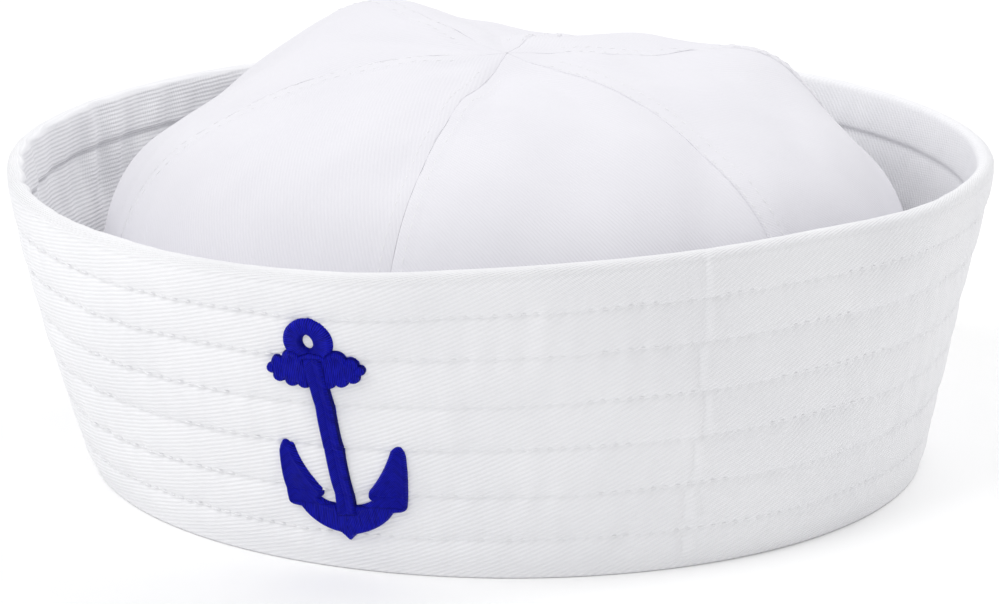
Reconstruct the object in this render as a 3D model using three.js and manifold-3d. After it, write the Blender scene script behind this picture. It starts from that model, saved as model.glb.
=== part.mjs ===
// Sailor cap: a round crown of six cotton twill gores inside a quilted twill brim that is turned up
// all round, with a small embroidered anchor on the front of the brim.
//
// Millimetres, +Z up. The cap stands on the fold of its brim, at z = 0. An azimuth is in degrees
// about +Z: 0 is the front of the cap (-Y) and 90 is +X.
import * as THREE from "three";
import { TessellateModifier } from "three/addons/modifiers/TessellateModifier.js";
import { mergeVertices } from "three/addons/utils/BufferGeometryUtils.js";
import Module from "manifold-3d";

const { degToRad, radToDeg, lerp, smoothstep, euclideanModulo } = THREE.MathUtils;

const wasm = await Module();
wasm.setup();

// ---------------------------------------------------------------- driving dimensions

const seamGap = 0.3; // left between two pieces that are sewn together

const brim = {
  width: 75, // up the outer face, from the fold to the lip
  wall: 2.8, // two layers of twill and the stitching that quilts them
  hemWall: 3.8, // the hem that rounds the lip
  hemDepth: 11,
  hemStep: 2, // length over which the hem thins to the wall
  bands: 7, // quilted bands between the stitch rows
  footRadius: 98.7, // mean radius of the outer edge of the fold
  footOval: 2.3, // added to the radius at the oval's long ends, and taken off at its sides
  footOvalAzimuth: 105, // a long end of the oval
  footWidth: 6, // flat ring under the fold, which the cap stands on
  footRound: 1.2, // rounding of the fold's outer corner
  uprightRise: 12, // above this the wall's thickness is square to its leaning face
};

// How far the brim leans out from upright, at the fold and at the lip, in degrees.
const brimLean = [
  { azimuth: 0, atFold: 11, atLip: 12 },
  { azimuth: 30, atFold: 6, atLip: 1 },
  { azimuth: 60, atFold: 6, atLip: -4 },
  { azimuth: 90, atFold: 9, atLip: 9 },
  { azimuth: 120, atFold: 13, atLip: 14 },
  { azimuth: 150, atFold: 14, atLip: 11 },
  { azimuth: 180, atFold: 13, atLip: 6 },
  { azimuth: 210, atFold: 12, atLip: 8 },
  { azimuth: 240, atFold: 13, atLip: 15 },
  { azimuth: 270, atFold: 17, atLip: 16 },
  { azimuth: 300, atFold: 19, atLip: 11 },
  { azimuth: 330, atFold: 16, atLip: 12 },
];

const crown = {
  gores: 6,
  firstSeam: 4, // azimuth of the seam nearest the front
  wall: 1.2,
  sideRadius: 96, // where the crown is widest
  sideHeight: 42, // height of that place above the floor
  topHeight: 99, // height of the seams' crossing, before the folds are added
  squareness: 2.5, // exponent of the superellipse from the side to the top: 2 is round
  sideShare: 0.35, // share of a gore's length that is below the widest place
  tipRadius: 2.5, // where the gores stop short of their crossing
  puff: 1.8, // how far a gore swells out between its seams
};

// Soft humps and dents of the crown, each a smooth mound at a place in plan.
const crownFolds = [
  { place: "back left hump", azimuth: 246, radius: 50, rise: 10, spread: 20 },
  { place: "left dent", azimuth: 271, radius: 75, rise: -5, spread: 18 },
  { place: "dip at the back", azimuth: 201, radius: 38, rise: -4, spread: 14 },
  { place: "right shoulder", azimuth: 124, radius: 68, rise: 8, spread: 14 },
  { place: "right dent", azimuth: 121, radius: 88, rise: -9, spread: 11 },
  { place: "dent before the crossing", azimuth: 15, radius: 20, rise: -2.5, spread: 12 },
];

// The anchor is drawn upright with the centre of its ring at 0, 0, and then leans.
const anchor = {
  azimuth: -2.3, // of the ring's centre
  rise: 58.7, // of the ring's centre, up the brim's outer face
  lean: 7, // to the left at the top
  thickness: 1.6,
  longestEdge: 4.5, // of its facets, so that it bends with the brim
  ring: { radius: 5.6, holeWidth: 2.3, holeHeight: 3.4 },
  shank: { topWidth: 4.2, bottomWidth: 5, top: -4, bottom: -44 },
  stockTurn: -5,
  armsTurn: -6,
  armsPivot: -42,
};

// One half of the stock's scalloped cloud shape, mirrored for the other half.
const stockScallops = [
  { x: 0, y: -6.7, radius: 4.7 },
  { x: 3.4, y: -8.6, radius: 3.1 },
  { x: 4.6, y: -5.2, radius: 3.2 },
  { x: 6.4, y: -5.2, radius: 3.1 },
  { x: 6.4, y: -8.6, radius: 2.9 },
  { x: 8.6, y: -6.7, radius: 2.5 },
];

const twill = new THREE.MeshStandardMaterial({ color: 0xf3f3f6, roughness: 0.9, metalness: 0 });
const thread = new THREE.MeshStandardMaterial({ color: 0x1a14a0, roughness: 0.5, metalness: 0 });

const brimSegments = 72;
const goreColumns = 10;
const goreRows = 12;
const curveSegments = 8;

// ---------------------------------------------------------------- helpers

/** The unit vector that points outwards from the axis at an azimuth. */
function outwards(azimuth) {
  const angle = degToRad(azimuth);
  return new THREE.Vector3(Math.sin(angle), -Math.cos(angle), 0);
}

/** The point at a radius and height above an azimuth. */
function cylindrical(azimuth, radius, height) {
  return outwards(azimuth).multiplyScalar(radius).setZ(height);
}

/** A column of an evenly spaced table, run smoothly round the cap (Catmull-Rom). */
function aroundTable(rows, column, azimuth) {
  const place = euclideanModulo(azimuth, 360) / (360 / rows.length);
  const row = Math.floor(place);
  const part = place - row;
  const [before, start, end, after] = [-1, 0, 1, 2].map(
    (step) => rows[(row + step + rows.length) % rows.length][column],
  );
  const startSlope = (end - before) / 2;
  const endSlope = (after - start) / 2;
  const cubic = 2 * (start - end) + startSlope + endSlope;
  const square = 3 * (end - start) - 2 * startSlope - endSlope;
  return start + part * (startSlope + part * (square + part * cubic));
}

/** Moves every vertex of a geometry to where bend(vertex) puts it. */
function bent(geometry, bend) {
  const position = geometry.getAttribute("position");
  const vertex = new THREE.Vector3();
  for (let i = 0; i < position.count; i += 1) {
    const moved = bend(vertex.fromBufferAttribute(position, i));
    position.setXYZ(i, moved.x, moved.y, moved.z);
  }
  geometry.computeVertexNormals();
  return geometry;
}

/** A geometry as a manifold-3d solid. */
function solidOf(geometry) {
  const bare = new THREE.BufferGeometry();
  bare.setAttribute("position", geometry.getAttribute("position"));
  bare.setIndex(geometry.index);
  const merged = mergeVertices(bare, 1e-4);
  return new wasm.Manifold(
    new wasm.Mesh({
      numProp: 3,
      vertProperties: merged.getAttribute("position").array,
      triVerts: new Uint32Array(merged.index.array),
    }),
  );
}

/** A manifold-3d solid as a geometry. */
function geometryOf(solid) {
  const mesh = solid.getMesh();
  const geometry = new THREE.BufferGeometry();
  geometry.setAttribute("position", new THREE.BufferAttribute(mesh.vertProperties, 3));
  geometry.setIndex(new THREE.BufferAttribute(mesh.triVerts, 1));
  return geometry;
}

function piece(name, geometry, material) {
  const mesh = new THREE.Mesh(geometry, material);
  mesh.name = name;
  return mesh;
}

// ---------------------------------------------------------------- brim

/** Radius of the fold's outer edge, which is a slightly oval ring. */
function footRadius(azimuth) {
  const angle = degToRad(azimuth - brim.footOvalAzimuth);
  return brim.footRadius + brim.footOval * Math.cos(2 * angle);
}

/** A point of the brim: rise is up its outer face, inset is from that face into the cloth. */
function brimPoint(azimuth, rise, inset) {
  const atFold = aroundTable(brimLean, "atFold", azimuth);
  const atLip = aroundTable(brimLean, "atLip", azimuth);
  const leanAt = (height) => degToRad(lerp(atFold, atLip, height / brim.width));
  const steps = 12;
  let radius = footRadius(azimuth);
  let height = 0;
  for (let step = 0; step < steps; step += 1) {
    const lean = leanAt(((step + 0.5) / steps) * rise);
    radius += (rise / steps) * Math.sin(lean);
    height += (rise / steps) * Math.cos(lean);
  }
  const tilt = leanAt(rise) * smoothstep(rise, 0, brim.uprightRise);
  return cylindrical(
    azimuth,
    radius - inset * Math.cos(tilt),
    height + inset * Math.sin(tilt),
  );
}

/** The brim's section as inset and rise, from the flat ring round to the crown's ledge. */
function brimSection() {
  const hemRadius = brim.hemWall / 2;
  const hemBottom = brim.width - brim.hemDepth;
  const section = [
    new THREE.Vector2(brim.footWidth, 0),
    new THREE.Vector2(brim.footRound, 0),
    new THREE.Vector2(0, brim.footRound),
  ];
  for (let row = 1; row < brim.bands; row += 1) {
    section.push(new THREE.Vector2(0, (row * brim.width) / brim.bands));
  }
  const lip = new THREE.Path().absarc(
    hemRadius, brim.width - hemRadius, hemRadius, Math.PI, 0, true,
  );
  section.push(...lip.getPoints(3));
  section.push(new THREE.Vector2(brim.hemWall, hemBottom));
  for (const share of [1, 0.67, 0.33]) {
    section.push(new THREE.Vector2(brim.wall, share * (hemBottom - brim.hemStep)));
  }
  section.push(new THREE.Vector2(brim.wall, brim.wall));
  section.push(new THREE.Vector2(brim.footWidth, brim.wall));
  return section;
}

function makeBrim() {
  // The section is turned about an axis at a radius of brim.footRadius, then bent to its true place.
  const ring = brimSection().map(({ x, y }) => new THREE.Vector2(brim.footRadius - x, y));
  ring.push(ring[0].clone());
  const lathe = new THREE.LatheGeometry(ring, brimSegments);
  return bent(lathe, ({ x, y, z }) => {
    const azimuth = radToDeg(Math.atan2(x, z));
    return brimPoint(azimuth, y, brim.footRadius - Math.hypot(x, z));
  });
}

// ---------------------------------------------------------------- crown

/** The crown's outline in a plane through its axis: along runs from 0 at the ledge to 1 on top. */
function crownProfile(along) {
  const ledgeRadius = brim.footRadius - brim.wall - 3 * seamGap;
  const ledgeHeight = brim.wall + seamGap;
  if (along < crown.sideShare) {
    const part = along / crown.sideShare;
    return new THREE.Vector2(
      lerp(ledgeRadius, crown.sideRadius, Math.sin((part * Math.PI) / 2)),
      lerp(ledgeHeight, crown.sideHeight, part),
    );
  }
  const turn = ((along - crown.sideShare) / (1 - crown.sideShare)) * (Math.PI / 2);
  const power = 2 / crown.squareness;
  return new THREE.Vector2(
    crown.sideRadius * Math.max(Math.cos(turn), 0) ** power,
    lerp(crown.sideHeight, crown.topHeight, Math.sin(turn) ** power),
  );
}

/** How far along the profile the crown's radius has come in to that of the gores' tips. */
function alongAtTip() {
  const turn = Math.acos((crown.tipRadius / crown.sideRadius) ** (crown.squareness / 2));
  return lerp(crown.sideShare, 1, turn / (Math.PI / 2));
}

/** Height that the soft humps and dents add at a place. They fade out down the crown's side. */
function foldHeight(azimuth, { x: radius, y: height }) {
  const here = cylindrical(azimuth, radius, 0);
  const added = crownFolds.reduce((sum, fold) => {
    const distance = here.distanceTo(cylindrical(fold.azimuth, fold.radius, 0));
    return sum + fold.rise * Math.exp(-((distance / fold.spread) ** 2) / 2);
  }, 0);
  return added * smoothstep(height, crown.sideHeight, crown.topHeight);
}

/** A point of the crown: along is up a gore, inset is from its outer face into the cloth. */
function crownPoint(azimuth, along, inset) {
  const step = 0.002;
  const profile = crownProfile(along);
  const tangent = crownProfile(along + step).sub(crownProfile(along - step)).normalize();
  const span = 360 / crown.gores;
  const across = euclideanModulo(azimuth - crown.firstSeam, span) / span;
  const swell = 4 * across * (1 - across) - 1;
  const depth = inset - crown.puff * swell * Math.sin(Math.PI * along);
  const oval = footRadius(azimuth) / brim.footRadius;
  return cylindrical(
    azimuth,
    (profile.x - depth * tangent.y) * oval,
    profile.y + depth * tangent.x + foldHeight(azimuth, profile),
  );
}

/** One gore: a flat sheet of cloth bent over the crown between two seams. */
function makeGore(index) {
  const span = 360 / crown.gores;
  const tip = alongAtTip();
  const sheet = new THREE.BoxGeometry(1, 1, 1, goreColumns, goreRows, 1);
  return bent(sheet, ({ x, y, z }) => {
    const along = (y + 0.5) * tip;
    const margin = radToDeg(Math.asin(seamGap / 2 / crownProfile(along).x));
    const azimuth = crown.firstSeam + (index + 0.5) * span + x * (span - 2 * margin);
    return crownPoint(azimuth, along, (0.5 - z) * crown.wall);
  });
}

// ---------------------------------------------------------------- anchor

function disc(x, y, radius) {
  return new THREE.Shape().absarc(x, y, radius, 0, 2 * Math.PI);
}

function shankShape() {
  const { topWidth, bottomWidth, top, bottom } = anchor.shank;
  return new THREE.Shape([
    new THREE.Vector2(-bottomWidth / 2, bottom),
    new THREE.Vector2(bottomWidth / 2, bottom),
    new THREE.Vector2(topWidth / 2, top),
    new THREE.Vector2(-topWidth / 2, top),
  ]);
}

/** The curved arms with a fluke at each end: the right half, then its mirror image. */
function armsShape() {
  const half = new THREE.Path()
    .moveTo(0, -50.9)
    .lineTo(2, -49)
    .quadraticCurveTo(8.5, -47.5, 11.4, -43)
    .lineTo(13, -42.8)
    .quadraticCurveTo(14.8, -42.6, 14.8, -41)
    .quadraticCurveTo(15.8, -34, 15.2, -28.6)
    .quadraticCurveTo(14.2, -24.4, 11.7, -27.4)
    .quadraticCurveTo(9.8, -33, 5.8, -37.8)
    .quadraticCurveTo(5, -39.6, 6.4, -40.2)
    .quadraticCurveTo(4.6, -41.6, 0, -41.8);
  const right = half.getPoints(curveSegments / 2);
  const left = right
    .slice(1, -1)
    .reverse()
    .map(({ x, y }) => new THREE.Vector2(-x, y));
  return new THREE.Shape([...right, ...left]);
}

/** A flat shape as a solid slab, turned about a point on the anchor's centre line. */
function slab(shape, turn = 0, pivot = 0) {
  const geometry = new THREE.ExtrudeGeometry(shape, {
    depth: anchor.thickness,
    bevelEnabled: false,
    curveSegments,
  });
  geometry.translate(0, -pivot, 0).rotateZ(degToRad(turn)).translate(0, pivot, 0);
  return solidOf(geometry);
}

function flatAnchor() {
  const { ring } = anchor;
  const hole = new THREE.Shape().absellipse(
    0, 0, ring.holeWidth / 2, ring.holeHeight / 2, 0, 2 * Math.PI,
  );
  const scallops = stockScallops.flatMap(({ x, y, radius }) =>
    [x, -x].map((side) => slab(disc(side, y, radius), anchor.stockTurn, -6.7)),
  );
  return [
    slab(disc(0, 0, ring.radius)),
    ...scallops,
    slab(shankShape()),
    slab(armsShape(), anchor.armsTurn, anchor.armsPivot),
  ]
    .reduce((whole, part) => whole.add(part))
    .subtract(slab(hole));
}

function makeAnchor() {
  const flat = geometryOf(flatAnchor()).toNonIndexed();
  const facets = new TessellateModifier(anchor.longestEdge, 16).modify(flat);
  facets.rotateZ(degToRad(anchor.lean));
  const faceRadius = footRadius(anchor.azimuth) + 8;
  return bent(facets, ({ x, y, z }) => {
    const azimuth = anchor.azimuth + radToDeg(x / faceRadius);
    return brimPoint(azimuth, anchor.rise + y, -(seamGap + z));
  });
}

// ---------------------------------------------------------------- assembly

const cap = new THREE.Group();
cap.add(piece("brim", makeBrim(), twill));
for (let index = 0; index < crown.gores; index += 1) {
  cap.add(piece(`crown_gore_${index + 1}`, makeGore(index), twill));
}
cap.add(piece("anchor_patch", makeAnchor(), thread));

// The origin is on the floor under the middle of the whole cap.
const middle = new THREE.Box3().setFromObject(cap).getCenter(new THREE.Vector3());
cap.position.set(-middle.x, -middle.y, 0);

export default cap;
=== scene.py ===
"""A white twill sailor cap: the quilted brim, the six gores of the crown, the stitching and the
embroidered anchor, modelled in metres around the CAD frame. Azimuths are in degrees about +Z:
0 is the front of the cap (-Y) and 90 is +X."""
import math

import bpy
import numpy as np
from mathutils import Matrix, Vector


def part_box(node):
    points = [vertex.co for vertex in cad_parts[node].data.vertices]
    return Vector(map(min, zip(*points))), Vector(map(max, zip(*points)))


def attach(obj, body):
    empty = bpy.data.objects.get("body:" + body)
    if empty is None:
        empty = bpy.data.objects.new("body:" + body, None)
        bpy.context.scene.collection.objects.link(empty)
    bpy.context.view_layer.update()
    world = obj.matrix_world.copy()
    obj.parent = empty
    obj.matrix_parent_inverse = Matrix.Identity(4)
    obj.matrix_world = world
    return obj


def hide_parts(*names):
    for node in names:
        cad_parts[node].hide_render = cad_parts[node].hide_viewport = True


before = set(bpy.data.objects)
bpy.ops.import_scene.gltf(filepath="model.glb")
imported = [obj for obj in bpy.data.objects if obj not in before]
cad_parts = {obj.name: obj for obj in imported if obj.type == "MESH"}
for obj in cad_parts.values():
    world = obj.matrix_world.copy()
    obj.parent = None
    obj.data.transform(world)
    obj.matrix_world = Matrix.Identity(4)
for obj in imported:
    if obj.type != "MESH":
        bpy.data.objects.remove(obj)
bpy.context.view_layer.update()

MM = 0.001
SHARP_ANGLE = 75.0  # edges sharper than this are shaded as creases

# ---------------------------------------------------------------- dimensions, in millimetres

BRIM_WIDTH = 75.0  # up the outer face, from the fold to the lip
BRIM_WALL = 2.8
HEM_WALL = 3.8
HEM_DEPTH = 11.0
FOOT_RADIUS = 98.7
FOOT_OVAL = 2.3
FOOT_OVAL_AZIMUTH = 105.0
FOOT_WIDTH = 6.0
UPRIGHT_RISE = 12.0
STITCH_ROWS = (9.7, 20.6, 32.0, 42.7, 54.3, 64.4)  # rises of the quilting rows
BAND_SWELL = 0.55
STITCH_PITCH = 3.0
STITCH_LENGTH = 2.2

# How far the brim leans out, at the fold and at the lip: a row every 30 degrees from the front.
LEAN_AT_FOLD = (11, 6, 6, 9, 13, 14, 13, 12, 13, 17, 19, 16)
LEAN_AT_LIP = (12, 1, -4, 9, 14, 11, 6, 8, 15, 16, 11, 12)

# Where the brim's end seam crosses each band, from the fold to the lip.
JOIN_AZIMUTHS = (46.5, 46.7, 47.8, 49.1, 48.2, 49.0, 49.0)
SECOND_JOIN_TURN = 180.0

GORES = 6
GORE_SPAN = 360.0 / GORES
FIRST_SEAM = 4.0
CROWN_WALL = 1.2
SIDE_RADIUS = 96.0
SIDE_HEIGHT = 42.0
TOP_HEIGHT = 99.0
SQUARENESS = 2.5
SIDE_SHARE = 0.35
TIP_RADIUS = 0.25
PUFF = 1.8
SEAM_GAP = 0.3
ROW_INSET = 0.8  # from the allowance's edge to its topstitching

# The folded allowance along each crown seam, from the front seam round: where it starts and ends,
# from the seam's line, and how far it stands out.
FELLS = (
    (-3.6, 3.4, 0.26),
    (0.0, 5.0, 0.42),
    (0.0, 5.0, 0.42),
    (0.0, 5.0, 0.42),
    (0.0, 5.0, 0.42),
    (0.0, 5.0, 0.30),
)

# Soft humps and dents of the crown: azimuth, radius in plan, rise, spread.
CROWN_FOLDS = (
    (246, 50, 10, 20),
    (271, 75, -5, 18),
    (201, 38, -4, 14),
    (124, 68, 8, 14),
    (121, 88, -9, 11),
    (15, 20, -2.5, 12),
)

# Creases that run in towards the crossing: azimuth, start and end radius, depth, half width.
CREASES = (
    (17, 8, 56, 0.9, 3.6),
    (9, 12, 40, 0.5, 2.5),
    (47, 14, 55, 0.6, 3.0),
    (330, 14, 60, 0.5, 3.5),
    (85, 10, 45, 0.7, 3.0),
    (128, 12, 60, 0.8, 3.5),
    (205, 8, 40, 1.2, 4.0),
    (280, 12, 50, 0.6, 3.0),
)

# ---------------------------------------------------------------- helpers


def outwards(azimuth):
    """Unit vectors that point outwards at azimuths, as an array with a last axis of three."""
    angle = np.radians(azimuth)
    return np.stack([np.sin(angle), -np.cos(angle), np.zeros_like(angle)], -1)


def around_table(values, azimuth):
    """An evenly spaced table run smoothly round the cap (Catmull-Rom)."""
    values = np.asarray(values, float)
    place = np.mod(azimuth, 360.0) / (360.0 / len(values))
    row = np.floor(place).astype(int)
    part = place - row
    before, start, end, after = (values[(row + step) % len(values)] for step in (-1, 0, 1, 2))
    start_slope = (end - before) / 2
    end_slope = (after - start) / 2
    cubic = 2 * (start - end) + start_slope + end_slope
    square = 3 * (end - start) - 2 * start_slope - end_slope
    return start + part * (start_slope + part * (square + part * cubic))


def smooth(value, low, high):
    share = np.clip((value - low) / (high - low), 0, 1)
    return share * share * (3 - 2 * share)


def ripples(x, y, wavelength, seed, period=None):
    """Smooth unit noise from a few sine waves; with a period it repeats along x."""
    random = np.random.default_rng(seed)
    total = np.zeros(np.broadcast(x, y).shape)
    waves = 14
    for _ in range(waves):
        angle = random.uniform(0, math.pi)
        size = wavelength * random.uniform(0.7, 1.6)
        along = math.cos(angle) / size
        if period:
            along = round(along * period) / period
        across = math.sin(angle) / size
        total += np.sin(2 * math.pi * (along * x + across * y + random.uniform(0, 1)))
    return total / math.sqrt(waves)


def grid_faces(rows, columns, wrap_rows=False, wrap_columns=False):
    """Quads over a grid of vertices numbered row by row."""
    row = np.arange(rows if wrap_rows else rows - 1)
    column = np.arange(columns if wrap_columns else columns - 1)
    r, c = np.meshgrid(row, column, indexing="ij")
    r_next = (r + 1) % rows
    c_next = (c + 1) % columns
    corners = [r * columns + c, r * columns + c_next, r_next * columns + c_next, r_next * columns + c]
    return np.stack(corners, -1).reshape(-1, 4)


def new_piece(name, vertices, faces, material, nodes=(), uv=None):
    """A mesh piece from millimetre vertices and faces; uv holds one pair a vertex, in metres."""
    mesh = bpy.data.meshes.new(name)
    faces = faces.tolist() if isinstance(faces, np.ndarray) else faces
    mesh.from_pydata((np.asarray(vertices) * MM).tolist(), [], faces)
    mesh.update()
    mesh.shade_smooth()
    mesh.set_sharp_from_angle(angle=math.radians(SHARP_ANGLE))
    if uv is not None:
        layer = mesh.uv_layers.new(name="cloth")
        corners = np.empty(len(mesh.loops), int)
        mesh.loops.foreach_get("vertex_index", corners)
        layer.data.foreach_set("uv", np.asarray(uv, np.float32)[corners].ravel())
    mesh.materials.append(material)
    piece = bpy.data.objects.new(name, mesh)
    bpy.context.scene.collection.objects.link(piece)
    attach(piece, "root")
    if nodes:
        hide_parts(*nodes)
    return piece


def stitch_meshes(centres, directions, normals, length, width, height):
    """Short rounded threads lying along directions on a surface, as one list of vertices and faces."""
    sides, rings = 6, 5
    vertices, faces = [], []
    stations = np.linspace(-1, 1, rings)
    angles = np.arange(sides) * 2 * math.pi / sides
    template = grid_faces(rings, sides, wrap_columns=True)
    caps = [list(range(sides))[::-1], list(range((rings - 1) * sides, rings * sides))]
    across = np.cross(directions, normals)
    for index, (centre, direction, normal, side) in enumerate(zip(centres, directions, normals, across)):
        for station in stations:
            fat = math.sqrt(max(1 - station**2, 0.06))
            sink = -0.55 * height * station**2
            middle = centre + direction * (station * length / 2) + normal * sink
            for angle in angles:
                vertices.append(
                    middle
                    + side * (math.cos(angle) * fat * width / 2)
                    + normal * (math.sin(angle) * fat * height / 2)
                )
        base = index * sides * rings
        faces.extend((template + base).tolist())
        faces.extend([[base + i for i in cap] for cap in caps])
    return vertices, faces


# ---------------------------------------------------------------- brim


def foot_radius(azimuth):
    return FOOT_RADIUS + FOOT_OVAL * np.cos(2 * np.radians(azimuth - FOOT_OVAL_AZIMUTH))


def brim_point(azimuth, rise, inset):
    """Points of the brim: rise is up its outer face, inset is from that face into the cloth."""
    at_fold = around_table(LEAN_AT_FOLD, azimuth)
    at_lip = around_table(LEAN_AT_LIP, azimuth)
    steps = 12
    radius = foot_radius(azimuth)
    height = np.zeros_like(radius)
    for step in range(steps):
        lean = np.radians(at_fold + (at_lip - at_fold) * (step + 0.5) / steps * rise / BRIM_WIDTH)
        radius = radius + rise / steps * np.sin(lean)
        height = height + rise / steps * np.cos(lean)
    lean = np.radians(at_fold + (at_lip - at_fold) * rise / BRIM_WIDTH)
    tilt = lean * smooth(rise, 0, UPRIGHT_RISE)
    point = outwards(azimuth) * (radius - inset * np.cos(tilt))[..., None]
    point[..., 2] = height + inset * np.sin(tilt)
    return point + CAP_SHIFT


def band_place(rise):
    """Which band a rise is in, and how far it is across the band, from 0 to 1."""
    edges = np.array((0.0,) + STITCH_ROWS + (BRIM_WIDTH,))
    band = np.clip(np.searchsorted(edges, rise, side="right") - 1, 0, len(edges) - 2)
    return band, (rise - edges[band]) / (edges[band + 1] - edges[band])


def join_relief(azimuth, rise, radius):
    """The ridge where the brim's two ends are sewn together, a little out of line band by band."""
    band, _ = band_place(rise)
    middle = np.array(JOIN_AZIMUTHS)[band]
    relief = 0
    for turn in (0.0, SECOND_JOIN_TURN):
        offset = np.mod(azimuth - middle - turn + 180, 360) - 180
        distance = np.radians(offset) * radius
        ridge = 0.38 * np.exp(-((distance / 1.3) ** 2))
        groove = -0.34 * np.exp(-(((distance + 2.4) / 0.6) ** 2))
        relief = relief + ridge + groove
    return relief


def brim_outer_relief(azimuth, rise):
    """How far the outer face stands out of its smooth form: quilting, puckers and the seam."""
    arc = np.radians(azimuth) * FOOT_RADIUS
    turn = 2 * math.pi * FOOT_RADIUS
    band, part = band_place(rise)
    swell = BAND_SWELL * (1 - np.abs(2 * part - 1) ** 2.6)
    tilt = 0.28 * (part - 0.5) * (band > 0)
    nearest = np.min(np.abs(rise[..., None] - np.array(STITCH_ROWS)), -1)
    pinch = 0.16 * np.cos(2 * math.pi * arc / STITCH_PITCH) * np.exp(-((nearest / 0.9) ** 2))
    pucker = 0.20 * ripples(arc, rise * 0.3, 7, 3, turn) * np.exp(-((nearest / 3.5) ** 2))
    slack = 0.22 * ripples(arc, rise, 38, 5, turn)
    hem_line = -0.22 * np.exp(-(((rise - (BRIM_WIDTH - 2.3)) / 0.45) ** 2))
    join = join_relief(azimuth, rise, FOOT_RADIUS + 8) * (1 - np.exp(-((nearest / 0.9) ** 2)))
    return swell - tilt + pinch + pucker + slack + hem_line + join


def brim_inner_relief(azimuth, rise):
    """The inside of the brim: the hem's edge, the backs of the quilting rows, and wrinkles."""
    arc = np.radians(azimuth) * FOOT_RADIUS
    turn = 2 * math.pi * FOOT_RADIUS
    _, part = band_place(rise)
    swell = 0.35 * (1 - np.abs(2 * part - 1) ** 2.6)
    left = np.exp(-(((np.mod(azimuth - 262 + 180, 360) - 180) / 34) ** 2))
    near_lip = smooth(rise, BRIM_WIDTH - 34, BRIM_WIDTH - 6)
    wrinkles = (0.12 + 0.75 * left * near_lip) * ripples(arc + 0.35 * rise, rise * 0.25, 6.5, 9, turn)
    slack = 0.3 * ripples(arc, rise, 30, 11, turn)
    return swell + wrinkles + slack


def brim_rows():
    """The brim's section as (rise, inset, face) rows, from the foot's inner edge round to the ledge."""
    rows = [(0.0, inset, "foot") for inset in np.linspace(FOOT_WIDTH, 1.4, 5)]
    rows += [(0.08, 0.3, "foot"), (0.3, 0.05, "foot")]
    edges = (0.8,) + STITCH_ROWS + (BRIM_WIDTH - HEM_WALL / 2,)
    share = (1 - np.cos(np.linspace(0, math.pi, 10))) / 2
    for low, high in zip(edges[:-1], edges[1:]):
        rows += [(low + (high - low) * s, 0.0, "outer") for s in share[:-1]]
    hem_radius = HEM_WALL / 2
    for angle in np.linspace(0, math.pi, 9):
        rise = BRIM_WIDTH - hem_radius + hem_radius * math.sin(angle)
        rows.append((rise, hem_radius - hem_radius * math.cos(angle), "lip"))
    hem_bottom = BRIM_WIDTH - HEM_DEPTH
    rows += [(rise, HEM_WALL, "hem") for rise in np.linspace(BRIM_WIDTH - 4, hem_bottom + 0.6, 9)]
    rows += [(hem_bottom, HEM_WALL - 0.3, "hem"), (hem_bottom - 0.4, BRIM_WALL, "inner")]
    inner = np.linspace(hem_bottom - 1.6, BRIM_WALL + 0.6, 26)
    rows += [(rise, BRIM_WALL, "inner") for rise in inner]
    rows += [(BRIM_WALL, inset, "ledge") for inset in np.linspace(BRIM_WALL, FOOT_WIDTH, 4)]
    return rows


def make_brim(material):
    stitches = round(2 * math.pi * FOOT_RADIUS / STITCH_PITCH)
    columns = stitches * 4
    azimuth = np.arange(columns) * 360.0 / columns
    rows = brim_rows()
    rise = np.array([row[0] for row in rows])[:, None] + 0 * azimuth
    inset = np.array([row[1] for row in rows])[:, None] + 0 * azimuth
    around = azimuth[None] + 0 * rise
    kind = np.array([row[2] for row in rows])
    uv = twill_plane(around, rise + 2 * inset)
    outer = brim_outer_relief(around, rise)
    inner = brim_inner_relief(around, rise)
    fade = smooth(rise, 0.8, 5.0)
    hem = smooth(rise, BRIM_WIDTH - HEM_DEPTH - 3, BRIM_WIDTH - HEM_DEPTH)
    inset = np.where((kind == "outer")[:, None], inset - outer * fade, inset)
    inset = np.where((kind == "inner")[:, None], inset + inner * fade, inset)
    inset = np.where((kind == "hem")[:, None], inset + 0.8 * inner * hem, inset)
    lip = (kind == "lip")[:, None]
    share = inset / HEM_WALL
    edge_outer = brim_outer_relief(around, np.full_like(rise, BRIM_WIDTH - HEM_WALL / 2))
    edge_inner = brim_inner_relief(around, np.full_like(rise, BRIM_WIDTH - 4.0))
    inset = np.where(lip, inset - (1 - share) * edge_outer + share * 0.8 * edge_inner, inset)
    points = brim_point(around, rise, inset)
    faces = grid_faces(len(rows), columns, wrap_rows=True, wrap_columns=True)
    return new_piece(
        "quilted_brim", points.reshape(-1, 3), faces, material, ("brim",), uv.reshape(-1, 2)
    )


def twill_plane(azimuth, rise):
    """The brim's cloth laid flat, in metres: the ribs turn slowly round the flared strip."""
    flare = 0.19
    radius = FOOT_RADIUS / flare + rise
    angle = np.radians(np.mod(azimuth - 21.5 + 180, 360) - 180) * flare
    return np.stack([radius * np.sin(angle), radius * np.cos(angle) - FOOT_RADIUS / flare], -1) * MM


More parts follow.
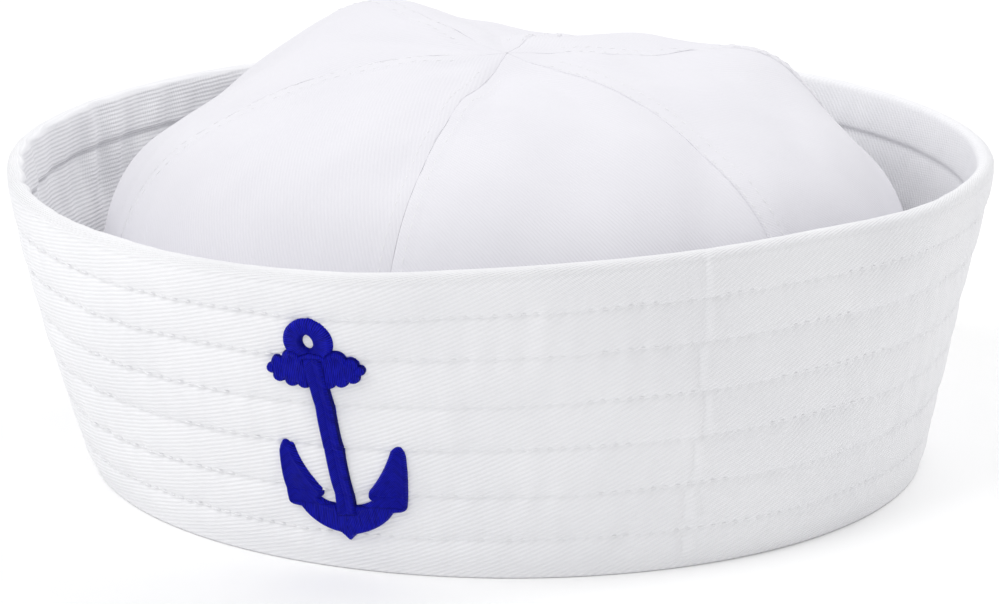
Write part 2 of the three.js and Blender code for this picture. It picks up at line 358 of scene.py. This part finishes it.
def make_brim_stitches(material):
    """The quilting rows: short threads along the bottom of each valley."""
    count = round(2 * math.pi * FOOT_RADIUS / STITCH_PITCH)
    azimuth = (np.arange(count) + 0.5) * 360.0 / count
    centres, directions, normals = [], [], []
    for row in STITCH_ROWS:
        rise = np.full(count, row) + 0.12 * ripples(np.arange(count), 0, 9, int(row * 10))
        relief = brim_outer_relief(azimuth, rise)
        here = brim_point(azimuth, rise, -(relief + 0.10))
        ahead = brim_point(azimuth + 0.3, rise, -relief) - brim_point(azimuth - 0.3, rise, -relief)
        above = brim_point(azimuth, rise + 0.5, 0 * rise) - brim_point(azimuth, rise - 0.5, 0 * rise)
        ahead /= np.linalg.norm(ahead, axis=-1, keepdims=True)
        normal = np.cross(ahead, above)
        normal /= np.linalg.norm(normal, axis=-1, keepdims=True)
        centres.append(here)
        directions.append(ahead)
        normals.append(normal)
    vertices, faces = stitch_meshes(
        np.concatenate(centres), np.concatenate(directions), np.concatenate(normals),
        STITCH_LENGTH, 0.5, 0.42,
    )
    return new_piece("brim_stitching", vertices, faces, material)


# ---------------------------------------------------------------- crown


def crown_profile(along):
    """Radius and height of the crown's outline, from 0 at the ledge to 1 at the crossing."""
    ledge_radius = FOOT_RADIUS - BRIM_WALL - 3 * SEAM_GAP
    ledge_height = BRIM_WALL + SEAM_GAP
    part = np.clip(along / SIDE_SHARE, None, 1)
    turn = np.clip((along - SIDE_SHARE) / (1 - SIDE_SHARE), 0, 1) * math.pi / 2
    power = 2 / SQUARENESS
    below = along < SIDE_SHARE
    radius = np.where(
        below,
        ledge_radius + (SIDE_RADIUS - ledge_radius) * np.sin(part * math.pi / 2),
        SIDE_RADIUS * np.clip(np.cos(turn), 0, None) ** power,
    )
    height = np.where(
        below,
        ledge_height + (SIDE_HEIGHT - ledge_height) * part,
        SIDE_HEIGHT + (TOP_HEIGHT - SIDE_HEIGHT) * np.sin(turn) ** power,
    )
    return radius, height


def fold_height(azimuth, radius, height):
    here = outwards(azimuth) * radius[..., None]
    added = 0
    for fold_azimuth, fold_radius, rise, spread in CROWN_FOLDS:
        there = outwards(np.array(float(fold_azimuth))) * fold_radius
        distance = np.linalg.norm(here - there, axis=-1)
        added = added + rise * np.exp(-((distance / spread) ** 2) / 2)
    return added * smooth(height, SIDE_HEIGHT, TOP_HEIGHT)


def crease_depth(azimuth, radius):
    depth = 0
    for crease_azimuth, start, end, deep, half_width in CREASES:
        offset = np.radians(np.mod(azimuth - crease_azimuth + 180, 360) - 180)
        distance = np.sin(offset) * radius
        ahead = (np.abs(offset) < math.pi / 2).astype(float)
        fade = smooth(radius, start * 0.5, start) * (1 - smooth(radius, end * 0.6, end))
        depth = depth + deep * ahead * fade * np.exp(-((distance / half_width) ** 2))
    return depth


def fell_relief(offset, seam):
    """The allowance along a seam, at offsets from the seam's line, with a dip under its two rows."""
    start, end, height = (np.array(column)[seam] for column in zip(*FELLS))
    raised = height * smooth(offset - start, -0.7, 0.4) * (1 - smooth(offset - end, -0.4, 0.7))
    for row in (start + ROW_INSET, end - ROW_INSET):
        raised = raised - 0.05 * np.exp(-(((offset - row) / 0.5) ** 2))
    return raised


def crown_relief(azimuth, along, radius):
    """How far the crown's face stands out of its smooth form."""
    turn = np.mod(azimuth - FIRST_SEAM, 360.0) / GORE_SPAN
    seam = np.minimum(np.floor(turn).astype(int), GORES - 1)
    across = turn - seam
    swell = PUFF * (4 * across * (1 - across) - 1) * np.sin(math.pi * np.clip(along, 0, 1))
    width = np.radians(GORE_SPAN) * radius
    from_seam = across * width
    to_seam = (1 - across) * width
    room = smooth(radius, 4, 16)
    fell = (fell_relief(from_seam, seam) + fell_relief(-to_seam, (seam + 1) % GORES)) * room
    valley = -0.12 * np.exp(-((np.minimum(from_seam, to_seam) / 0.7) ** 2)) * smooth(radius, 1, 6)
    x = np.sin(np.radians(azimuth)) * radius
    y = np.cos(np.radians(azimuth)) * radius
    slack = 0.55 * ripples(x, y + 60 * along, 34, 21) + 0.16 * ripples(x, y + 60 * along, 13, 22)
    pucker = 0.1 * ripples(0 * x, along * 160, 5, 23) * np.exp(-((from_seam / 6) ** 2)) * room
    return swell + fell + valley + slack * smooth(radius, 2, 14) + pucker - crease_depth(azimuth, radius)


def crown_point(azimuth, along, inset):
    step = 0.002
    radius, height = crown_profile(along)
    radius_next, height_next = crown_profile(along + step)
    radius_last, height_last = crown_profile(along - step)
    run = radius_next - radius_last
    climb = height_next - height_last
    size = np.maximum(np.hypot(run, climb), 1e-9)
    run = run / size
    climb = climb / size
    base = smooth(along, 0.0, 0.12)
    depth = inset - crown_relief(azimuth, along, radius) * base
    oval = foot_radius(azimuth) / FOOT_RADIUS
    point = outwards(azimuth) * ((radius - depth * climb) * oval)[..., None]
    point[..., 2] = height + depth * run + fold_height(azimuth, radius, height)
    return point + CAP_SHIFT


def make_gore(index, material):
    """One gore: outer and inner faces joined round the edge, with its cloth laid flat as its UVs."""
    columns, rows = 61, 76
    power = 2 / SQUARENESS
    tip_turn = math.acos((TIP_RADIUS / SIDE_RADIUS) ** (1 / power))
    tip = SIDE_SHARE + (1 - SIDE_SHARE) * tip_turn / (math.pi / 2)
    along = np.linspace(0, 1, rows) ** 0.92 * tip
    spread = (1 - np.cos(np.linspace(0, math.pi, columns))) / 2
    place = 0.55 * spread + 0.45 * np.linspace(0, 1, columns)
    along = along[:, None] + 0 * place
    radius, height = crown_profile(along)
    margin = np.degrees(np.arcsin(np.clip(0.04 / np.maximum(radius, 0.2), 0, 0.5)))
    azimuth = FIRST_SEAM + index * GORE_SPAN + margin + place * (GORE_SPAN - 2 * margin)
    outer = crown_point(azimuth, along, 0 * along)
    inner = crown_point(azimuth, along, 0 * along + CROWN_WALL)
    arc = np.concatenate([[0], np.cumsum(np.hypot(np.diff(radius[:, 0]), np.diff(height[:, 0])))])
    half = np.radians(azimuth - FIRST_SEAM - (index + 0.5) * GORE_SPAN) * radius
    uv = np.stack([half, arc[:, None] + 0 * half], -1) * MM
    count = rows * columns
    front = grid_faces(rows, columns)
    back = front[:, ::-1] + count
    rim = np.concatenate([
        np.arange(columns),
        np.arange(1, rows) * columns + columns - 1,
        (rows - 1) * columns + np.arange(columns - 2, -1, -1),
        np.arange(rows - 2, 0, -1) * columns,
    ])
    edge = np.stack([np.roll(rim, -1), rim, rim + count, np.roll(rim, -1) + count], -1)
    vertices = np.concatenate([outer.reshape(-1, 3), inner.reshape(-1, 3)])
    both = np.concatenate([uv.reshape(-1, 2)] * 2)
    name = f"gore_{index + 1}"
    node = f"crown_gore_{index + 1}"
    return new_piece(name, vertices, np.concatenate([front, back, edge]), material, (node,), both)


def make_crown_stitches(material):
    """Two rows of topstitching beside each crown seam."""
    centres, directions, normals = [], [], []
    along_fine = np.linspace(0.02, 0.985, 900)
    radius_fine, height_fine = crown_profile(along_fine)
    arc = np.concatenate([[0], np.cumsum(np.hypot(np.diff(radius_fine), np.diff(height_fine)))])
    stations = np.arange(1.5, arc[-1] - 6, STITCH_PITCH)
    along = np.interp(stations, arc, along_fine)
    radius, _ = crown_profile(along)
    for seam in range(GORES):
        start, end, _ = FELLS[seam]
        for distance in (start + ROW_INSET, end - ROW_INSET):
            azimuth = FIRST_SEAM + seam * GORE_SPAN + np.degrees(distance / np.maximum(radius, 6))
            here = crown_point(azimuth, along, 0 * along - 0.04)
            ahead = crown_point(azimuth, along + 0.004, 0 * along) - crown_point(azimuth, along - 0.004, 0 * along)
            side = crown_point(azimuth + 0.4, along, 0 * along) - crown_point(azimuth - 0.4, along, 0 * along)
            ahead /= np.linalg.norm(ahead, axis=-1, keepdims=True)
            normal = np.cross(side, ahead)
            normal /= np.linalg.norm(normal, axis=-1, keepdims=True)
            centres.append(here)
            directions.append(ahead)
            normals.append(normal)
    vertices, faces = stitch_meshes(
        np.concatenate(centres), np.concatenate(directions), np.concatenate(normals),
        STITCH_LENGTH, 0.30, 0.18,
    )
    return new_piece("crown_stitching", vertices, faces, material)


# ---------------------------------------------------------------- anchor

ANCHOR_AZIMUTH = -2.3
ANCHOR_RISE = 58.7
ANCHOR_LEAN = 7.0
RING_RADIUS = 5.6
RING_HOLE = (1.15, 1.7)
SHANK = {"top": (-4.0, 2.1), "bottom": (-44.0, 2.5)}  # (y, half width)
STOCK_TURN = -5.0
STOCK_PIVOT = -6.7
ARMS_TURN = -6.0
ARMS_PIVOT = -42.0
STOCK_SCALLOPS = (
    (0, -6.9, 4.4),
    (4.5, -7.2, 3.3),
    (7.2, -7.2, 2.5),
    (5.0, -4.6, 2.4),
    (8.3, -5.6, 1.7),
    (10.0, -7.2, 1.3),
    (8.4, -8.9, 1.6),
    (5.6, -9.8, 1.7),
    (2.7, -10.1, 1.8),
)
# The right half of the arms: line ends, or a curve's control point and end.
ARMS_START = (0, -50.9)
ARMS_PATH = (
    ((2, -49),),
    ((8.5, -47.5), (11.4, -43)),
    ((13, -42.8),),
    ((14.8, -42.6), (14.8, -41)),
    ((15.8, -34), (15.2, -28.6)),
    ((14.2, -24.4), (11.7, -27.4)),
    ((9.8, -33), (5.8, -37.8)),
    ((5, -39.6), (6.4, -40.2)),
    ((4.6, -41.6), (0, -41.8)),
)


def arms_outline():
    points = [np.array(ARMS_START, float)]
    for leg in ARMS_PATH:
        start = points[-1]
        end = np.array(leg[-1], float)
        if len(leg) == 1:
            points.append(end)
            continue
        control = np.array(leg[0], float)
        for share in np.linspace(0, 1, 9)[1:]:
            points.append((1 - share) ** 2 * start + 2 * share * (1 - share) * control + share**2 * end)
    right = np.array(points)
    left = right[1:-1][::-1] * (-1, 1)
    return np.concatenate([right, left])


def turned(points, degrees, pivot):
    angle = math.radians(degrees)
    x = points[..., 0]
    y = points[..., 1] - pivot
    return np.stack(
        [x * math.cos(angle) - y * math.sin(angle), x * math.sin(angle) + y * math.cos(angle) + pivot], -1
    )


def polygon_distance(points, outline):
    """Signed distance to a closed outline, negative inside."""
    start = outline
    end = np.roll(outline, -1, 0)
    edge = end - start
    best = np.full(points.shape[:-1], np.inf)
    inside = np.zeros(points.shape[:-1], bool)
    for a, b, e in zip(start, end, edge):
        offset = points - a
        share = np.clip((offset @ e) / max(e @ e, 1e-9), 0, 1)
        best = np.minimum(best, np.linalg.norm(offset - share[..., None] * e, axis=-1))
        crosses = (a[1] > points[..., 1]) != (b[1] > points[..., 1])
        height = b[1] - a[1] if b[1] != a[1] else 1e-9
        inside ^= crosses & (points[..., 0] < a[0] + (points[..., 1] - a[1]) * (b[0] - a[0]) / height)
    return np.where(inside, -best, best)


def anchor_fields(points):
    """Signed distance to each sewn area of the anchor, and the thread coordinates in it."""
    x, y = points[..., 0], points[..., 1]
    distance = np.hypot(x, y)
    hole = (np.hypot(x / RING_HOLE[0], y / RING_HOLE[1]) - 1) * min(RING_HOLE)
    ring = np.maximum(distance - RING_RADIUS, -hole)
    ring_threads = np.stack([np.arctan2(x, y) * RING_RADIUS * 0.7, distance], -1)
    stock_points = turned(points, -STOCK_TURN, STOCK_PIVOT)
    stock = np.min([
        np.hypot(np.abs(stock_points[..., 0]) - sx, stock_points[..., 1] - sy) - radius
        for sx, sy, radius in STOCK_SCALLOPS
    ], axis=0)
    stock_threads = stock_points
    (top, top_half), (bottom, bottom_half) = SHANK["top"], SHANK["bottom"]
    half = bottom_half + (top_half - bottom_half) * (y - bottom) / (top - bottom)
    shank = np.maximum(np.abs(x) - half, np.maximum(y - top, bottom - y))
    shank_threads = np.stack([y + 0.7 * np.abs(x), x], -1)
    arm_points = turned(points, -ARMS_TURN, ARMS_PIVOT)
    arms = polygon_distance(arm_points, arms_outline())
    ax, ay = np.abs(arm_points[..., 0]), arm_points[..., 1]
    fluke = ay > -41.5
    arm_threads = np.stack([np.where(fluke, ay + 0.9 * np.abs(ax - 12.5), ax + 0.2 * ay), ax + ay], -1)
    areas = np.stack([ring, stock, shank, arms])
    threads = np.stack([ring_threads, stock_threads, shank_threads, arm_threads])
    solid = np.maximum(np.min(areas, 0), -hole)
    # the shank is sewn over the stock and the arms, and the stock over the ring
    order = np.where(shank < -0.05, 2, np.where(stock < -0.05, 1, np.where(arms < ring, 3, 0)))
    return solid, hole, areas, threads, order


def anchor_height(points):
    """Height of the embroidery above its backing: each area is a padded roll with a bold edge."""
    solid, hole, areas, _, order = anchor_fields(points)
    own = np.take_along_axis(areas, order[None], 0)[0]
    own = np.where(order == 0, np.maximum(own, -hole), own)
    depth = np.clip(-own, 0, None)
    edge = np.clip(-solid, 0, None)
    rounded = np.sqrt(1 - (1 - np.clip(edge / 0.9, 0, 1)) ** 2)
    level = np.array([1.25, 1.3, 1.6, 1.35])[order]
    border = 0.22 * np.exp(-(((depth - 0.8) / 0.5) ** 2))
    seam = 0.35 * np.exp(-((depth / 0.3) ** 2)) * (edge > 0.4)
    middle = 0.3 * np.exp(-((points[..., 0] / 0.35) ** 2)) * (order == 2)
    return 0.35 + (level - 0.35) * rounded + border * rounded - seam - middle


def make_anchor(material):
    cell = 0.2
    x = np.arange(-17, 17 + cell, cell)
    y = np.arange(-53, 7 + cell, cell)
    grid_y, grid_x = np.meshgrid(y, x, indexing="ij")
    points = np.stack([grid_x, grid_y], -1)
    solid = anchor_fields(points)[0]
    slope_y, slope_x = np.gradient(solid, cell)
    size = np.maximum(np.hypot(slope_x, slope_y), 0.3)
    near = np.abs(solid) < 0.6 * cell
    move = np.where(near, -solid / size**2, 0)
    points = points + np.stack([slope_x, slope_y], -1) * move[..., None]
    kept = (solid < 0) | near
    quads = grid_faces(len(y), len(x))
    flat_kept = kept.ravel()
    flat = points.reshape(-1, 2)
    triangles = np.concatenate([quads[:, [0, 1, 2]], quads[:, [0, 2, 3]]])
    triangles = triangles[flat_kept[triangles].all(1)]
    middle = flat[triangles].mean(1)
    triangles = triangles[anchor_fields(middle)[0] < -0.02]
    used, index = np.unique(triangles, return_inverse=True)
    triangles = index.reshape(-1, 3)
    flat = flat[used]
    _, _, _, threads, order = anchor_fields(flat)
    uv = np.take_along_axis(threads, order[None, :, None], 0)[0]
    uv = uv + order[:, None] * np.array([3.1, 40.0])
    leaning = turned(flat, ANCHOR_LEAN, 0.0)
    face_radius = foot_radius(np.array(ANCHOR_AZIMUTH)) + 8
    azimuth = ANCHOR_AZIMUTH + np.degrees(leaning[:, 0] / face_radius)
    rise = ANCHOR_RISE + leaning[:, 1]
    relief = np.clip(brim_outer_relief(azimuth, rise), -0.2, None) * 0.6
    top = brim_point(azimuth, rise, -(relief + anchor_height(flat)))
    bottom = brim_point(azimuth, rise, -(np.minimum(relief, 0.2) - 0.15))
    edges = np.sort(np.concatenate([triangles[:, [0, 1]], triangles[:, [1, 2]], triangles[:, [2, 0]]]), 1)
    directed = np.concatenate([triangles[:, [0, 1]], triangles[:, [1, 2]], triangles[:, [2, 0]]])
    _, first, count = np.unique(edges, axis=0, return_index=True, return_counts=True)
    rim = directed[first[count == 1]]
    total = len(flat)
    sides = np.stack([rim[:, 1], rim[:, 0], rim[:, 0] + total, rim[:, 1] + total], -1)
    faces = triangles.tolist() + (triangles[:, ::-1] + total).tolist() + sides.tolist()
    vertices = np.concatenate([top, bottom])
    both = np.concatenate([uv, uv]) * MM
    return new_piece("embroidered_anchor", vertices, faces, material, ("anchor_patch",), both)


# ---------------------------------------------------------------- materials


def new_material(name):
    material = bpy.data.materials.new(name)
    material.use_nodes = True
    nodes = material.node_tree.nodes
    return material, nodes, material.node_tree.links, nodes["Principled BSDF"]


def wave(nodes, links, source, angle, period, distortion, detail_scale=1.0):
    """Ribs with a period in metres, across a direction turned by an angle in the cloth's plane."""
    mapping = nodes.new("ShaderNodeMapping")
    mapping.inputs["Rotation"].default_value[2] = math.radians(angle)
    links.new(source, mapping.inputs["Vector"])
    ribs = nodes.new("ShaderNodeTexWave")
    ribs.inputs["Scale"].default_value = 2 * math.pi / (20 * period)
    ribs.inputs["Distortion"].default_value = distortion
    ribs.inputs["Detail"].default_value = 2
    ribs.inputs["Detail Scale"].default_value = detail_scale
    links.new(mapping.outputs["Vector"], ribs.inputs["Vector"])
    return ribs.outputs["Fac"]


def noise(nodes, links, source, scale, detail=3):
    texture = nodes.new("ShaderNodeTexNoise")
    texture.inputs["Scale"].default_value = scale
    texture.inputs["Detail"].default_value = detail
    links.new(source, texture.inputs["Vector"])
    return texture.outputs["Fac"]


def math_node(nodes, links, operation, first, second):
    node = nodes.new("ShaderNodeMath")
    node.operation = operation
    for socket, value in zip(node.inputs, (first, second)):
        if isinstance(value, (int, float)):
            socket.default_value = value
        else:
            links.new(value, socket)
    return node.outputs[0]


def ramp(nodes, links, source, stops):
    node = nodes.new("ShaderNodeValToRGB")
    links.new(source, node.inputs["Fac"])
    elements = node.color_ramp.elements
    for element, (place, colour) in zip(elements, stops):
        element.position = place
        element.color = (*colour, 1)
    return node.outputs["Color"]


def twill_material(name, rib_angle, rib_period, rib_height, wander, light, shade):
    """Bleached cotton twill: diagonal ribs broken by the warp, slubs, and a faint uneven whiteness, with painted
    shade along the rib grooves.
    """
    material, nodes, links, shader = new_material(name)
    cloth = nodes.new("ShaderNodeUVMap")
    cloth.uv_map = "cloth"
    plane = cloth.outputs["UV"]
    ribs = wave(nodes, links, plane, rib_angle, rib_period, wander, 1.0)
    warp = wave(nodes, links, plane, rib_angle + 62, rib_period * 0.45, 0.1, 0.5)
    slubs = noise(nodes, links, plane, 420)
    weave = math_node(nodes, links, "MULTIPLY_ADD", warp, 0.3)
    links.new(ribs, weave.node.inputs[2])
    total = math_node(nodes, links, "MULTIPLY_ADD", slubs, 0.7)
    links.new(weave, total.node.inputs[2])
    bump = nodes.new("ShaderNodeBump")
    bump.inputs["Strength"].default_value = 1.0
    bump.inputs["Distance"].default_value = rib_height
    links.new(total, bump.inputs["Height"])
    links.new(bump.outputs["Normal"], shader.inputs["Normal"])
    # The colour follows the ribs, darker in their grooves as painted shade, and soft patches of the cloth's uneven
    # whiteness.
    patches = noise(nodes, links, plane, 26, 4)
    tone = math_node(nodes, links, "MULTIPLY_ADD", ribs, 0.35)
    links.new(patches, tone.node.inputs[2])
    colour = ramp(nodes, links, tone, ((0.3, shade), (0.9, light)))
    links.new(colour, shader.inputs["Base Color"])
    shader.inputs["Roughness"].default_value = 0.92
    shader.inputs["Specular IOR Level"].default_value = 0.2
    shader.inputs["Sheen Weight"].default_value = 0.15
    shader.inputs["Sheen Roughness"].default_value = 0.5
    return material


def thread_material():
    """Royal blue rayon thread in close satin stitch: glossy ridges shown by a painted highlight along them, with
    darker gaps between them, painted shade.
    """
    material, nodes, links, shader = new_material("anchor_thread")
    cloth = nodes.new("ShaderNodeUVMap")
    cloth.uv_map = "cloth"
    plane = cloth.outputs["UV"]
    strands = wave(nodes, links, plane, 0, 0.00042, 1.2, 1.0)
    mapping = nodes.new("ShaderNodeMapping")
    mapping.inputs["Scale"].default_value = (1, 0.25, 1)
    links.new(plane, mapping.inputs["Vector"])
    streaks = noise(nodes, links, mapping.outputs["Vector"], 1400, 2)
    height = math_node(nodes, links, "MULTIPLY_ADD", streaks, 0.6)
    links.new(strands, height.node.inputs[2])
    bump = nodes.new("ShaderNodeBump")
    bump.inputs["Strength"].default_value = 1.0
    bump.inputs["Distance"].default_value = 0.00016
    links.new(height, bump.inputs["Height"])
    links.new(bump.outputs["Normal"], shader.inputs["Normal"])
    # The colour: a painted highlight on the ridges and painted shade in the gaps between them, with streaks of
    # uneven colour along the thread.
    tone = math_node(nodes, links, "MULTIPLY_ADD", streaks, 0.9)
    links.new(math_node(nodes, links, "MULTIPLY", strands, 0.5), tone.node.inputs[2])
    colour = ramp(nodes, links, tone, ((0.35, (0.001, 0.001, 0.15)), (0.95, (0.007, 0.009, 0.46))))
    links.new(colour, shader.inputs["Base Color"])
    shader.inputs["Roughness"].default_value = 0.5
    shader.inputs["Specular IOR Level"].default_value = 0.08
    return material


def plain_material(name, colour, roughness):
    material, _, _, shader = new_material(name)
    shader.inputs["Base Color"].default_value = (*colour, 1)
    shader.inputs["Roughness"].default_value = roughness
    return material


# ---------------------------------------------------------------- stage, light and camera

VIEW_AZIMUTH = 21.5
VIEW_ELEVATION = 16.53
VIEW_DISTANCE = 1176.0
VIEW_HEIGHT = 39.1
FRAME_WIDTH = 999
PIXELS_PER_MM = 4.1168  # at the cap's axis
SENSOR_WIDTH = 36.0
VIEW_SHIFT = (-0.0076, -0.0103)


def aim(thing, target):
    direction = target - np.array(thing.location)
    horizontal = math.hypot(direction[0], direction[1])
    thing.rotation_euler = (
        math.pi / 2 + math.atan2(direction[2], horizontal), 0, math.atan2(-direction[0], direction[1])
    )


def make_camera():
    data = bpy.data.cameras.new("camera")
    data.sensor_width = SENSOR_WIDTH
    data.lens = PIXELS_PER_MM * VIEW_DISTANCE / FRAME_WIDTH * SENSOR_WIDTH
    data.shift_x, data.shift_y = VIEW_SHIFT
    data.clip_start = 0.05
    camera = bpy.data.objects.new("camera", data)
    target = (CAP_SHIFT + (0, 0, VIEW_HEIGHT)) * MM
    elevation = math.radians(VIEW_ELEVATION)
    away = outwards(np.array(VIEW_AZIMUTH)) * math.cos(elevation) + (0, 0, math.sin(elevation))
    camera.location = target + away * VIEW_DISTANCE * MM
    aim(camera, target)
    bpy.context.scene.collection.objects.link(camera)
    bpy.context.scene.camera = camera


def make_floor():
    size = 4.0
    mesh = bpy.data.meshes.new("floor")
    corners = [(-size, -size, 0), (size, -size, 0), (size, size, 0), (-size, size, 0)]
    mesh.from_pydata(corners, [], [(0, 1, 2, 3)])
    mesh.materials.append(plain_material("floor", (0.97, 0.97, 0.97), 0.9))
    floor = bpy.data.objects.new("floor", mesh)
    bpy.context.scene.collection.objects.link(floor)


# Lamps: name, azimuth from the camera's, elevation, distance, size, power.
LAMPS = (
    ("key", -60, 45, 1.6, 1.2, 11.0),
    ("back", 130, 50, 1.6, 1.2, 9.5),
)
WORLD_STRENGTH = 0.7


def make_light():
    target = np.array((0, 0, 0.05))
    for name, azimuth, elevation, distance, size, power in LAMPS:
        data = bpy.data.lights.new(name, "AREA")
        data.shape = "DISK"
        data.size = size
        data.energy = power
        lamp = bpy.data.objects.new(name, data)
        high = math.radians(elevation)
        away = outwards(np.array(VIEW_AZIMUTH + azimuth)) * math.cos(high) + (0, 0, math.sin(high))
        lamp.location = target + away * distance
        aim(lamp, target)
        bpy.context.scene.collection.objects.link(lamp)
    world = bpy.data.worlds.new("studio")
    world.use_nodes = True
    background = world.node_tree.nodes["Background"]
    background.inputs["Color"].default_value = (1, 1, 1, 1)
    background.inputs["Strength"].default_value = WORLD_STRENGTH
    bpy.context.scene.world = world
    bpy.context.scene.view_settings.view_transform = "Standard"


# ---------------------------------------------------------------- assembly


def cap_shift():
    """Where the cap's own axis stands in the frame, in millimetres: the brim's outline is centred."""
    low, high = (np.array(corner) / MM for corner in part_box("brim"))
    azimuth = np.arange(0, 360, 1.0)
    ring = np.concatenate([
        brim_point(azimuth, np.full_like(azimuth, rise), 0 * azimuth) for rise in (0, 60, BRIM_WIDTH - 2)
    ])
    shift = (low + high) / 2 - (ring.min(0) + ring.max(0)) / 2
    return np.array((shift[0], shift[1], 0.0))


CAP_SHIFT = np.zeros(3)
CAP_SHIFT = cap_shift()

# Each twill's last two colours run from rib tops and paler patches to rib grooves, painted shade, and greyer
# patches.
brim_twill = twill_material("brim_twill", 67, 0.00098, 0.00009, 0.7, (0.848, 0.848, 0.868), (0.779, 0.781, 0.806))
crown_twill = twill_material("crown_twill", -35, 0.00078, 0.00003, 1.5, (0.752, 0.745, 0.786), (0.709, 0.702, 0.748))
stitching = plain_material("white_thread", (0.78, 0.78, 0.80), 0.7)

make_camera()
make_floor()
make_light()
make_brim(brim_twill)
make_brim_stitches(stitching)
for gore in range(GORES):
    make_gore(gore, crown_twill)
make_crown_stitches(stitching)
make_anchor(thread_material())
